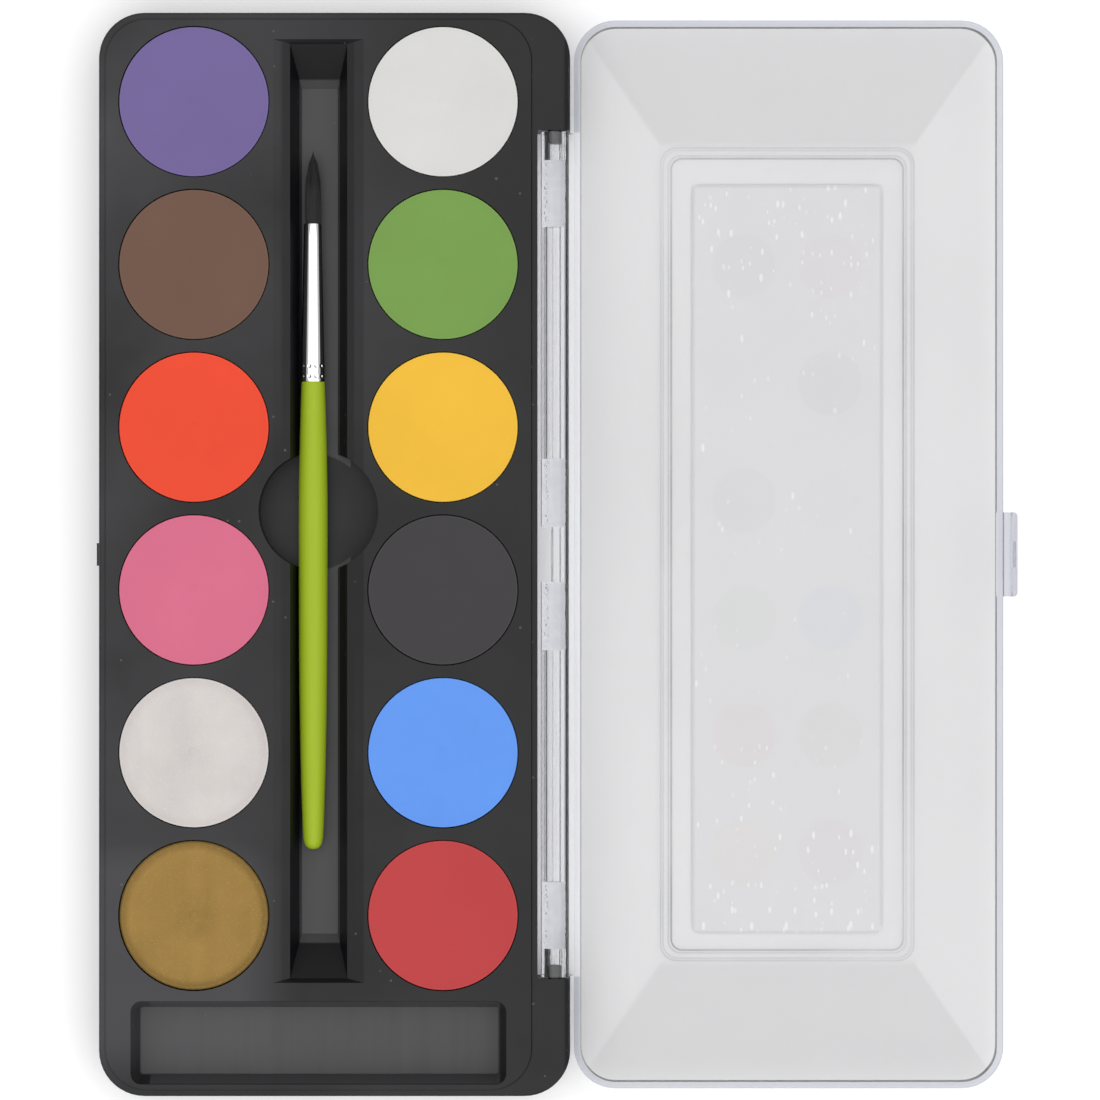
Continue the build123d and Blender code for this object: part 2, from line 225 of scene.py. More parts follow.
class BrushSettings(bpy.types.PropertyGroup):
    lacquer: shade("Lacquer", "Colour of the handle's lacquer", (0.355, 0.48, 0.02))
    lacquer_deep: shade("Deep lacquer", "Lacquer where the grain is dark", (0.285, 0.4, 0.013))
    nickel: shade("Nickel", "Colour of the ferrule", (0.83, 0.83, 0.84))
    hair: shade("Hair", "Colour of the hair", (0.012, 0.012, 0.013))
    strands: IntProperty(name="Strands", description="Number of hairs", default=900, min=100, max=3000)
    strand_radius: length("Strand radius", "Radius of one hair at its root", 0.055)
    dents: IntProperty(name="Dents", description="Pressed dents round one ring", default=12, min=8, max=60)
    dent_depth: length("Dent depth", "Depth of a pressed dent", 0.2)
    dent_radius: length("Dent radius", "Radius of a pressed dent", 0.5)


class Shading:
    """Adds nodes to one node tree."""

    def __init__(self, tree):
        self.tree = tree

    def put(self, socket, value):
        """Sets a socket to a value, or links it to another socket."""
        if isinstance(value, bpy.types.NodeSocket):
            self.tree.links.new(value, socket)
        else:
            socket.default_value = value

    def node(self, kind, values=None, **settings):
        """A new node with its settings, and its inputs by name or number."""
        made = self.tree.nodes.new("ShaderNode" + kind)
        for name, value in settings.items():
            setattr(made, name, value)
        for socket, value in (values or {}).items():
            self.put(made.inputs[socket], value)
        return made

    def math(self, operation, first, second=0.0, third=0.0, clamp=False):
        """The result of a sum on up to three values or sockets."""
        values = {0: first, 1: second, 2: third}
        made = self.node("Math", values, operation=operation, use_clamp=clamp)
        return made.outputs[0]

    def mix(self, factor, first, second):
        """A colour between two colours."""
        made = self.node("Mix", {0: factor}, data_type="RGBA")
        for socket, value in ((6, first), (7, second)):
            self.put(made.inputs[socket], solid(value))
        return made.outputs[2]

    def fade(self, value, low, high, start=0.0, end=1.0):
        """A soft change from the start to the end while a value goes from low to high."""
        span = {0: value, 1: low, 2: high, 3: start, 4: end}
        return self.node("MapRange", span, interpolation_type="SMOOTHSTEP").outputs[0]

    def group(self, name, values):
        """A shared effect with this material's own values."""
        made = self.tree.nodes.new("ShaderNodeGroup")
        made.node_tree = bpy.data.node_groups[name]
        for socket, value in values.items():
            self.put(made.inputs[socket], value)
        return made.outputs


def solid(colour):
    """A colour with full cover, or the socket as it is."""
    if isinstance(colour, bpy.types.NodeSocket) or len(colour) == 4:
        return colour
    return (*colour, 1.0)


def scaled(colour, factor):
    """A colour made darker or lighter by a factor."""
    return [channel * factor for channel in colour]


def new_effect(name, inputs, outputs):
    """An empty shared effect, as its shading, its input sockets and its output node."""
    tree = bpy.data.node_groups.new(name, "ShaderNodeTree")
    for label, value in inputs.items():
        socket = tree.interface.new_socket(label, in_out="INPUT", socket_type="NodeSocketFloat")
        socket.default_value = value
    for label, kind in outputs.items():
        tree.interface.new_socket(label, in_out="OUTPUT", socket_type="NodeSocket" + kind)
    shading = Shading(tree)
    entry = tree.nodes.new("NodeGroupInput")
    leave = tree.nodes.new("NodeGroupOutput")
    return shading, entry.outputs, leave.inputs


def object_place(shading, scale=(1.0, 1.0, 1.0)):
    """The place on the piece, stretched as a pattern needs it."""
    place = shading.node("TexCoord").outputs["Object"]
    return shading.node("Mapping", {"Vector": place, "Scale": scale}).outputs["Vector"]


def make_relief_effect(name, scale, height, rough, stretch):
    """Fine relief from noise, stretched along the palette or not, as a value and a normal."""
    shading, given, gives = new_effect(
        name, {"Scale": scale, "Height": height}, {"Value": "Float", "Normal": "Vector"}
    )
    place = object_place(shading, (1.0, stretch, 1.0))
    noise = shading.node(
        "TexNoise", {"Vector": place, "Scale": given["Scale"], "Detail": 3.0, "Roughness": rough}
    )
    bump = shading.node(
        "Bump", {"Strength": 1.0, "Distance": given["Height"], "Height": noise.outputs[0]}
    )
    shading.put(gives["Value"], noise.outputs[0])
    shading.put(gives["Normal"], bump.outputs["Normal"])


def make_mottle_effect():
    """Broad cloudy change between two values."""
    shading, given, gives = new_effect(
        "mottle", {"Scale": 40.0, "Low": 0.0, "High": 1.0, "Shift": 0.0}, {"Value": "Float"}
    )
    place = object_place(shading)
    noise = shading.node(
        "TexNoise",
        {"Vector": place, "W": given["Shift"], "Scale": given["Scale"], "Detail": 4.0, "Roughness": 0.55},
        noise_dimensions="4D",
    )
    span = {0: noise.outputs[0], 1: 0.3, 2: 0.7, 3: given["Low"], 4: given["High"]}
    spread = shading.node("MapRange", span, clamp=True)
    shading.put(gives["Value"], spread.outputs[0])


def make_speck_effect():
    """Sparse specks, as dust or as bubbles under a sticker. They may be longer than they are wide."""
    shading, given, gives = new_effect(
        "specks", {"Scale": 800.0, "Size": 0.15, "Share": 0.1, "Length": 1.0}, {"Mask": "Float"}
    )
    squeeze = shading.math("DIVIDE", 1.0, given["Length"])
    squeezed = shading.node("CombineXYZ", {0: 1.0, 1: squeeze, 2: 1.0}).outputs[0]
    place = shading.node(
        "VectorMath", {0: object_place(shading), 1: squeezed}, operation="MULTIPLY"
    ).outputs[0]
    cells = shading.node("TexVoronoi", {"Vector": place, "Scale": given["Scale"]})
    lots = shading.node("SeparateColor", {0: cells.outputs["Color"]}).outputs
    width = shading.math("MULTIPLY", given["Size"], shading.math("ADD", lots[1], 0.4))
    near = shading.math("LESS_THAN", cells.outputs["Distance"], width)
    kept = shading.math("LESS_THAN", lots[0], given["Share"])
    shading.put(gives["Mask"], shading.math("MULTIPLY", near, kept))


def make_crease_effect():
    """Thin wandering lines, as plastic shows where it sank while it set."""
    shading, given, gives = new_effect("creases", {"Scale": 400.0, "Width": 0.08}, {"Mask": "Float"})
    place = object_place(shading, (1.0, 0.55, 1.0))
    bend = shading.node("TexNoise", {"Vector": place, "Scale": given["Scale"], "Detail": 2.0})
    swing = shading.node("VectorMath", {0: bend.outputs["Color"], "Scale": 0.0016}, operation="SCALE")
    bent = shading.node("VectorMath", {0: place, 1: swing.outputs[0]}, operation="ADD").outputs[0]
    cells = shading.node(
        "TexVoronoi", {"Vector": bent, "Scale": given["Scale"]}, feature="DISTANCE_TO_EDGE"
    )
    fall = shading.fade(cells.outputs["Distance"], 0.0, given["Width"], 1.0, 0.0)
    shading.put(gives["Mask"], fall)


def make_ring_effect():
    """Rises from nought to one between two distances from an upright axis."""
    shading, given, gives = new_effect(
        "ring", {"Centre X": 0.0, "Centre Y": 0.0, "Inner": 0.01, "Outer": 0.02}, {"Mask": "Float"}
    )
    centre = shading.node("CombineXYZ", {0: given["Centre X"], 1: given["Centre Y"]}).outputs[0]
    away = shading.node("VectorMath", {0: object_place(shading), 1: centre}, operation="SUBTRACT")
    level = shading.node("VectorMath", {0: away.outputs[0], 1: (1.0, 1.0, 0.0)}, operation="MULTIPLY")
    reach = shading.node("VectorMath", {0: level.outputs[0]}, operation="LENGTH").outputs["Value"]
    shading.put(gives["Mask"], shading.fade(reach, given["Inner"], given["Outer"]))


def make_frame_effect():
    """A line along a rectangle with round corners, and how far a point is outside it."""
    sides = {"Centre X": 0.0, "Centre Y": 0.0, "Half X": 0.02, "Half Y": 0.08}
    shading, given, gives = new_effect(
        "frame_line", {**sides, "Corner": 0.003, "Width": 0.0003}, {"Mask": "Float", "Outside": "Float"}
    )
    parts = shading.node("SeparateXYZ", {0: object_place(shading)}).outputs
    over = []
    for number, axis in enumerate("XY"):
        offset = shading.math("SUBTRACT", parts[number], given["Centre " + axis])
        away = shading.math("ABSOLUTE", offset)
        straight = shading.math("SUBTRACT", given["Half " + axis], given["Corner"])
        over.append(shading.math("SUBTRACT", away, straight))
    squares = [shading.math("POWER", shading.math("MAXIMUM", value, 0.0), 2.0) for value in over]
    corner = shading.math("SQRT", shading.math("ADD", *squares))
    side = shading.math("MINIMUM", shading.math("MAXIMUM", over[0], over[1]), 0.0)
    outside = shading.math("SUBTRACT", shading.math("ADD", corner, side), given["Corner"])
    away = shading.math("ABSOLUTE", outside)
    shading.put(gives["Mask"], shading.fade(away, 0.0, given["Width"], 1.0, 0.0))
    shading.put(gives["Outside"], outside)


def make_zone_effect():
    """One inside a box, nought outside it, and even between over a soft margin."""
    sides = {}
    for axis in "XYZ":
        sides["Low " + axis] = -1.0
        sides["High " + axis] = 1.0
    shading, given, gives = new_effect("zone", {**sides, "Margin": 0.001}, {"Mask": "Float"})
    parts = shading.node("SeparateXYZ", {0: object_place(shading)}).outputs
    inside = 1.0
    for number, axis in enumerate("XYZ"):
        over = shading.math("SUBTRACT", parts[number], given["Low " + axis])
        under = shading.math("SUBTRACT", given["High " + axis], parts[number])
        for reach in (over, under):
            inside = shading.math("MULTIPLY", shading.fade(reach, 0.0, given["Margin"]), inside)
    shading.put(gives["Mask"], inside)


def make_effects():
    """Every shared effect, made once."""
    if "fine_grain" in bpy.data.node_groups:
        return
    make_relief_effect("fine_grain", 2000.0, 0.000005, 0.6, 1.0)
    make_mottle_effect()
    make_relief_effect("streaks", 1500.0, 0.000003, 0.55, STREAK_STRETCH)
    make_speck_effect()
    make_crease_effect()
    make_ring_effect()
    make_frame_effect()
    make_zone_effect()


def new_finish(name):
    """An empty material, as the material, its shading and its output node."""
    make_effects()
    finish = bpy.data.materials.new(name)
    finish.use_nodes = True
    finish.node_tree.nodes.clear()
    shading = Shading(finish.node_tree)
    end = shading.node("OutputMaterial")
    return finish, shading, end


def surfaced(finish, shading, end, values):
    """Ends a material in one principled surface."""
    surface = shading.node("BsdfPrincipled", values)
    shading.put(end.inputs["Surface"], surface.outputs[0])
    return finish


def zone(shading, box, margin):
    """Mask of a box given in millimetres, with an even margin inside it."""
    low, high = box
    values = {"Margin": margin * MM}
    for number, axis in enumerate("XYZ"):
        values["Low " + axis] = low[number] * MM
        values["High " + axis] = high[number] * MM
    return shading.group("zone", values)["Mask"]


def moulded_black(settings):
    """Satin black plastic with a fine grain, cloudy gloss, lighter floors and a few specks of dust. Its
    deck has a broad mottle that is partly rubbed plastic and partly painted sheen, lighter to the left,
    and a hazy painted reflection near its lower left corner.
    """
    finish, shading, end = new_finish("moulded_black")
    # The broad mottle is partly rubbed plastic and partly painted sheen.
    cloud = shading.group("mottle", {"Scale": 16.0, "Low": -0.3, "High": 0.85})["Value"]
    dust = shading.group("specks", {"Scale": 420.0, "Size": 0.09, "Share": 0.16})["Mask"]
    grain = shading.group("fine_grain", {"Scale": 2400.0, "Height": settings.grain_height})
    # Painted sheen: the mottle grows stronger towards the left of the deck, where the plastic reflects
    # more light.
    across = shading.node("SeparateXYZ", {0: object_place(shading)}).outputs[0]
    left, right = BASE_ACROSS
    span = {0: across, 1: left * MM, 2: right * MM, 3: PAINTED_SHEEN_DRIFT[0], 4: PAINTED_SHEEN_DRIFT[1]}
    painted_sheen_drift = shading.node("MapRange", span).outputs[0]
    bare = shading.math("SUBTRACT", 1.0, zone(shading, SLOT_WALLS, 0.4))
    cloud = shading.math("MULTIPLY", shading.math("MULTIPLY", cloud, painted_sheen_drift), bare)
    # Painted reflection: a hazy lighter patch towards the lower left corner of the deck.
    painted_reflection = shading.math("MULTIPLY", zone(shading, DECK_PAINTED_REFLECTION, 18.0), bare)
    cloud = shading.math("MAXIMUM", cloud, shading.math("MULTIPLY", painted_reflection, 1.15))
    clean = shading.mix(cloud, settings.colour, settings.mottle_tone)
    slot_floor = zone(shading, SLOT_FLOOR, 0.4)
    tray_floor = zone(shading, TRAY_FLOOR, 0.4)
    recess = {}
    for label, value in zip(("Centre X", "Centre Y", "Inner", "Outer"), RECESS):
        recess[label] = value * MM
    slot_floor = shading.math("MULTIPLY", slot_floor, shading.group("ring", recess)["Mask"])
    floors = shading.math("ADD", slot_floor, tray_floor, clamp=True)
    rubbed = shading.group("streaks", {"Scale": 500.0})["Value"]
    floors = shading.math("MULTIPLY", floors, shading.math("MULTIPLY_ADD", rubbed, 0.25, third=0.68))
    tray_walls = shading.math("MULTIPLY", zone(shading, TRAY_WALLS, 0.3), 0.75)
    floors = shading.math("MAXIMUM", floors, tray_walls)
    fine = shading.mix(floors, clean, settings.satin)
    dusty = shading.mix(shading.math("MULTIPLY", dust, 0.5), fine, DUST_TONE)
    low, high = settings.roughness - 0.05, settings.roughness + 0.06
    gloss = shading.group("mottle", {"Scale": 90.0, "Low": low, "High": high, "Shift": 3.0})["Value"]
    plastic = {
        "Base Color": dusty,
        "Roughness": gloss,
        "Specular IOR Level": 0.33,
        "Normal": grain["Normal"],
    }
    return surfaced(finish, shading, end, plastic)


def thick_blocks(shading):
    """Mask of the thick blocks of the hinge bar, between which its trough runs."""
    blocks = 0.0
    for ends in HINGE_BLOCKS_ALONG:
        box = list(zip(HINGE_BLOCKS_ACROSS, ends, HINGE_BLOCKS_HEIGHT))
        blocks = shading.math("ADD", zone(shading, box, 0.6), blocks)
    return blocks


def rounded(half_x, half_y, corner, middle=(PANEL_MIDDLE * MM, 0.0)):
    """Values of a rectangle with round corners."""
    centre = {"Centre X": middle[0], "Centre Y": middle[1]}
    return {**centre, "Half X": half_x, "Half Y": half_y, "Corner": corner}


def frame_lines(shading):
    """Dark glints along the edges of the panel's raised frame and of its groove."""
    lines = 0.0
    glint = shading.group("mottle", {"Scale": 24.0, "Low": 0.25, "High": 1.0, "Shift": 8.0})["Value"]
    for inset, strength in FRAME_GLINTS:
        half_x = (PANEL_SIZE[0] / 2 - inset) * MM
        half_y = (PANEL_SIZE[1] / 2 - inset) * MM
        outline = rounded(half_x, half_y, (PANEL_CORNER - inset / 2) * MM)
        line = shading.group("frame_line", {**outline, "Width": GLINT_WIDTH * MM})["Mask"]
        strong = shading.math("MULTIPLY", line, strength)
        lines = shading.math("MAXIMUM", strong, lines)
    return shading.math("MULTIPLY", lines, glint)


def end_slopes(shading, half_length):
    """Mask of the slopes at the two ends of the lid, which meet the side slopes in soft hips. It places
    their painted shade.
    """
    parts = shading.node("SeparateXYZ", {0: object_place(shading)}).outputs
    across = shading.math("ABSOLUTE", shading.math("SUBTRACT", parts[0], PANEL_MIDDLE * MM))
    along = shading.math("ABSOLUTE", parts[1])
    half_x = PANEL_SIZE[0] / 2 * MM
    half_y = PANEL_SIZE[1] / 2 * MM
    reach_x = LID_WIDTH / 2 * MM - half_x
    reach_y = half_length - half_y
    side_share = shading.math("DIVIDE", shading.math("SUBTRACT", across, half_x), reach_x)
    end_share = shading.math("DIVIDE", shading.math("SUBTRACT", along, half_y), reach_y)
    lead = shading.math("SUBTRACT", end_share, shading.math("MAXIMUM", side_share, 0.0))
    return shading.fade(lead, *HIP_BLEND)


def plastic_tint(shading, settings, blocks):
    """Tint of the lid: deeper on its end slopes and rim as painted shade, paler over the sticker as
    painted light, and paler in the hinge bar.
    """
    cloud = shading.group("mottle", {"Scale": 14.0, "Low": 0.0, "High": 1.0, "Shift": 5.0})["Value"]
    shell = shading.mix(cloud, settings.tint, scaled(settings.tint, 0.96))
    half_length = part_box("lid")[1].y
    # Painted shade: the end slopes take a deeper tint, so they read darker than the side slopes.
    shell = shading.mix(end_slopes(shading, half_length), shell, scaled(settings.tint, 0.9))
    low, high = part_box("lid_label")
    middle = (low + high) / 2
    reach = (high - low) / 2
    sticker = rounded(reach.x, reach.y, LABEL_CORNER * MM, middle)
    past_sticker = shading.group("frame_line", sticker)["Outside"]
    # Painted light: the plastic over the sticker takes a paler tint, so the sticker reads brighter.
    shell = shading.mix(shading.math("LESS_THAN", past_sticker, 0.0), shell, settings.painted_sticker_light)
    shell = shading.mix(frame_lines(shading), shell, GLINT_TONE)
    # Painted shade: a patchy, deeper, bluish tint along the rim stands in for the wall seen along its
    # length.
    outline = rounded(LID_WIDTH / 2 * MM, half_length, LID_CORNER * MM)
    outside = shading.group("frame_line", outline)["Outside"]
    rim = shading.fade(outside, -RIM_START * MM, -RIM_FULL * MM)
    patchy = shading.group("mottle", {"Scale": 18.0, "Low": 0.25, "High": 1.0, "Shift": 11.0})["Value"]
    rim_shaded = shading.mix(shading.math("MULTIPLY", rim, patchy), shell, settings.rim)
    barred = shading.mix(zone(shading, HINGE_BAR, 0.5), rim_shaded, settings.thick)
    creases = shading.group("creases", {"Scale": 420.0, "Width": 0.16})["Mask"]
    milky = scaled(settings.thick, 0.96)
    set_blocks = shading.mix(shading.math("MULTIPLY", creases, 0.9), milky, CREASE_TONE)
    return shading.mix(blocks, barred, set_blocks)


def clear_plastic(settings):
    """Clear moulded styrene with faint waves, wrinkled where it is thick. Lamps shine through it."""
    finish, shading, end = new_finish("clear_plastic")
    blocks = thick_blocks(shading)
    tint = plastic_tint(shading, settings, blocks)
    waves = shading.group("fine_grain", {"Scale": 70.0})["Value"]
    wrinkles = shading.group("fine_grain", {"Scale": 420.0})["Value"]
    wave_rise = shading.math("MULTIPLY", waves, settings.wave_height)
    wrinkled = shading.math("MULTIPLY", wrinkles, blocks)
    wrinkle_rise = shading.math("MULTIPLY", wrinkled, settings.wrinkle_height)
    rise = shading.math("ADD", wave_rise, wrinkle_rise)
    uneven = shading.node("Bump", {"Strength": 1.0, "Distance": 1.0, "Height": rise})
    glass = {
        "Base Color": tint,
        "Roughness": settings.roughness,
        "IOR": 1.5,
        "Transmission Weight": 1.0,
        "Normal": uneven.outputs["Normal"],
    }
    surface = shading.node("BsdfPrincipled", glass)
    passing = shading.node("BsdfTransparent", {"Color": solid(settings.shadow)})
    rays = shading.node("LightPath")
    both = shading.node(
        "MixShader", {0: rays.outputs["Is Shadow Ray"], 1: surface.outputs[0], 2: passing.outputs[0]}
    )
    shading.put(end.inputs["Surface"], both.outputs[0])
    depth = {"Color": solid(settings.depth), "Density": settings.density}
    soaked = shading.node("VolumeAbsorption", depth)
    shading.put(end.inputs["Volume"], soaked.outputs[0])
    return finish


def pressed_paint(name, settings, colour, pearl, shift, centre, radius):
    """Pressed face paint, smooth and matt or with a pearl shimmer, with a thin painted highlight along its
    edge. Pearl cakes also have a painted shade ring inside the edge.
    """
    finish, shading, end = new_finish("paint_" + name)

    def ring(inner, outer):
        values = {"Centre X": centre.x, "Centre Y": centre.y}
        edges = {"Inner": inner * radius, "Outer": outer * radius}
        return shading.group("ring", {**values, **edges})["Mask"]

    deep = scaled(colour, 0.93 - 0.16 * pearl)
    light = [min(1.0, channel * 1.22 + 0.02) for channel in colour]
    dark = scaled(colour, 0.5)
    cloud = shading.group("mottle", {"Scale": 55.0 + 60.0 * pearl, "Shift": shift})["Value"]
    body = shading.mix(cloud, deep, colour)
    if pearl > PEARLY:
        satin = shading.group("streaks", {"Scale": 260.0})["Value"]
        body = shading.mix(shading.math("MULTIPLY", satin, 0.5 * pearl), body, light)
        middle = shading.math("SUBTRACT", 1.0, ring(0.05, 0.5))
        strong = {"Scale": 160.0, "Low": 0.0, "High": 0.6 * pearl**2, "Shift": shift}
        patch = shading.group("mottle", strong)["Value"]
        body = shading.mix(shading.math("MULTIPLY", middle, patch), body, dark)
        # Painted shade: a darker ring inside the edge of a pearl cake, where its wide rounding turns from
        # the light.
        fall = shading.math("MULTIPLY", ring(0.84, 0.95), 0.62 * pearl**2)
        body = shading.mix(fall, body, dark)
    flakes = shading.group("specks", {"Scale": 3400.0, "Size": 0.45, "Share": 0.2})["Mask"]
    body = shading.mix(shading.math("MULTIPLY", flakes, 0.04 + 0.4 * pearl), body, light)
    # Painted highlight: a thin light ring just inside the edge, where the rounded edge catches light.
    body = shading.mix(shading.math("MULTIPLY", ring(0.972, 0.985), 0.45), body, light)
    grain = shading.group("fine_grain", {"Scale": 3200.0, "Height": 0.000004})
    paint = {
        "Base Color": body,
        "Roughness": settings.roughness,
        "Metallic": 0.35 * pearl,
        "Specular IOR Level": 0.14,
        "Normal": grain["Normal"],
    }
    return surfaced(finish, shading, end, paint)


def sheet_box(middle, reach, inset):
    """Box in millimetres that holds the sticker but for an even strip along its edges."""
    low = Vector((middle.x - reach.x, middle.y - reach.y, -SHEET_HEIGHT * MM)) / MM
    high = Vector((middle.x + reach.x, middle.y + reach.y, SHEET_HEIGHT * MM)) / MM
    strip = Vector((inset, inset, 0.0))
    return low + strip, high - strip


def printed_dabs(shading, settings, middle, paper):
    """The sticker's print: two columns of round dabs in the colours of the cakes."""
    cakes = bpy.context.scene.palette_cakes
    body = paper
    cover = 0.0
    for number, name in enumerate(COLOURS):
        side = -1.0 if number < DAB_ROWS else 1.0
        row = (DAB_ROWS - 1) / 2 - number % DAB_ROWS
        values = {
            "Centre X": middle.x + side * settings.dab_offset,
            "Centre Y": middle.y + row * settings.dab_pitch,
            "Inner": settings.dab_radius - 0.1 * MM,
            "Outer": settings.dab_radius + 0.1 * MM,
        }
        inside = shading.math("SUBTRACT", 1.0, shading.group("ring", values)["Mask"])
        body = shading.mix(inside, body, getattr(cakes, name))
        cover = shading.math("ADD", inside, cover)
    return body, cover


def sticker_back(settings, middle, reach):
    """White back of the sticker: long air bubbles, most at its ends, and the print as a faint ghost."""
    finish, shading, end = new_finish("sticker_back")
    cloud = shading.group("mottle", {"Scale": 30.0, "Low": 0.0, "High": 0.7})["Value"]
    paper = shading.mix(cloud, settings.paper, scaled(settings.paper, 0.96))
    inked, cover = printed_dabs(shading, settings, middle, paper)
    ghost = shading.mix(shading.math("MULTIPLY", cover, 0.04), paper, inked)
    along = shading.node("SeparateXYZ", {0: object_place(shading)}).outputs[1]
    away = shading.math("ABSOLUTE", shading.math("SUBTRACT", along, middle.y))
    share_of_cells = shading.node(
        "MapRange", {0: away, 1: reach.y * 0.5, 2: reach.y, 3: 0.07, 4: 0.85}
    ).outputs[0]
    bubbles = shading.group(
        "specks", {"Scale": 760.0, "Size": 0.21, "Share": share_of_cells, "Length": 2.4}
    )["Mask"]
    small = shading.group("specks", {"Scale": 1100.0, "Size": 0.28, "Share": 0.06, "Length": 1.8})["Mask"]
    air = shading.math("ADD", bubbles, shading.math("MULTIPLY", small, 0.6), clamp=True)
    spotted = shading.mix(shading.math("MULTIPLY", air, 0.9), ghost, settings.bubble)
    body = zone(shading, sheet_box(middle, reach, 0.4), 0.3)
    line = shading.math("MULTIPLY", shading.math("SUBTRACT", 1.0, body), 0.25)
    edged = shading.mix(line, spotted, LINE_TONE)
    return surfaced(finish, shading, end, {"Base Color": edged, "Roughness": 0.55})


def sticker_front(settings, middle, reach):
    """Printed front of the sticker: a thin border round the dabs of colour, under a soft gloss."""
    finish, shading, end = new_finish("sticker_front")
    inked, cover = printed_dabs(shading, settings, middle, solid(settings.paper))
    fibre = shading.group("mottle", {"Scale": 900.0, "Low": 0.0, "High": 0.08})["Value"]
    wide = zone(shading, sheet_box(middle, reach, BORDER_INSET), 0.05)
    narrow = zone(shading, sheet_box(middle, reach, BORDER_INSET + BORDER_WIDTH), 0.05)
    border = shading.math("SUBTRACT", wide, narrow)
    bordered = shading.mix(border, inked, settings.border)
    mottle_tone = shading.mix(fibre, bordered, FIBRE_TONE)
    film = {"Base Color": mottle_tone, "Roughness": 0.35, "Coat Weight": 0.4, "Coat Roughness": 0.1}
    return surfaced(finish, shading, end, film)


def handle_lacquer(settings):
    """Satin green lacquer over fine wood grain."""
    finish, shading, end = new_finish("handle_lacquer")
    wood = shading.group("streaks", {"Scale": 1400.0, "Height": 0.000003})
    body = shading.mix(
        shading.math("MULTIPLY", wood["Value"], 0.7), settings.lacquer, settings.lacquer_deep
    )
    rub = shading.group("mottle", {"Scale": 250.0, "Low": 0.38, "High": 0.5})["Value"]
    lacquer = {
        "Base Color": body,
        "Roughness": rub,
        "Specular IOR Level": 0.16,
        "Coat Weight": 0.12,
        "Coat Roughness": 0.15,
        "Normal": wood["Normal"],
    }
    return surfaced(finish, shading, end, lacquer)


def bright_nickel(settings):
    """Drawn nickel with fine streaks and a faint haze."""
    finish, shading, end = new_finish("bright_nickel")
    drawn = shading.group("streaks", {"Scale": 2600.0, "Height": 0.0000012})
    haze = shading.group("mottle", {"Scale": 300.0, "Low": 0.05, "High": 0.11})["Value"]
    metal = {
        "Base Color": solid(settings.nickel),
        "Metallic": 1.0,
        "Roughness": haze,
        "Normal": drawn["Normal"],
    }
    return surfaced(finish, shading, end, metal)


def black_hair(settings):
    """Soft black hair, a little lighter on some hairs."""
    finish, shading, end = new_finish("black_hair")
    streak = shading.group("streaks", {"Scale": 2800.0, "Height": 0.000004})
    body = shading.mix(streak["Value"], settings.hair, scaled(settings.hair, 3.0))
    hair = {"Base Color": body, "Roughness": 0.42, "Specular IOR Level": 0.35}
    return surfaced(finish, shading, end, hair)


def dress(node, finish):
    """Gives a CAD node its finish."""
    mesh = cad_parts[node].data
    mesh.materials.clear()
    mesh.materials.append(finish)


def turned_form(profile, centre, axis, steps, closed=False):
    """A mesh turned from an open profile whose ends lie on the axis, or from a closed one."""
    form = bmesh.new()
    points = [form.verts.new(point) for point in profile]
    runs = [form.edges.new(pair) for pair in zip(points, points[1:])]
    if closed:
        runs.append(form.edges.new((points[-1], points[0])))
    bmesh.ops.spin(
        form,
        geom=points + runs,
        cent=centre,
        axis=axis,
        dvec=(0, 0, 0),
        angle=math.tau,
        steps=steps,
        use_merge=True,
    )
    return form


def finish_piece(form, name, body, finishes, replaced):
    """Closes a mesh, makes it a smooth piece and sets it on its body."""
    bmesh.ops.remove_doubles(form, verts=form.verts, dist=WELD)
    bmesh.ops.recalc_face_normals(form, faces=form.faces)
    mesh = bpy.data.meshes.new(name)
    form.to_mesh(mesh)
    form.free()
    mesh.shade_smooth()
    for finish in finishes:
        mesh.materials.append(finish)
    piece = bpy.data.objects.new(name, mesh)
    bpy.context.scene.collection.objects.link(piece)
    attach(piece, body)
    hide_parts(replaced)
    return piece


def lamp(name, place, aim, power, size):
    """A soft square lamp that points at a place."""
    light = bpy.data.lights.new(name, "AREA")
    light.energy = power
    light.size = size
    holder = bpy.data.objects.new(name, light)
    holder.location = place
    holder.rotation_euler = (Vector(aim) - Vector(place)).to_track_quat("-Z", "Y").to_euler()
    bpy.context.scene.collection.objects.link(holder)
    return holder


def seen_rays(shading):
    """One for rays from the camera and those that gloss or glass passes on, otherwise nought."""
    rays = shading.node("LightPath").outputs
    total = shading.math("ADD", rays["Is Camera Ray"], rays["Is Glossy Ray"])
    return shading.math("ADD", total, rays["Is Transmission Ray"], clamp=True)


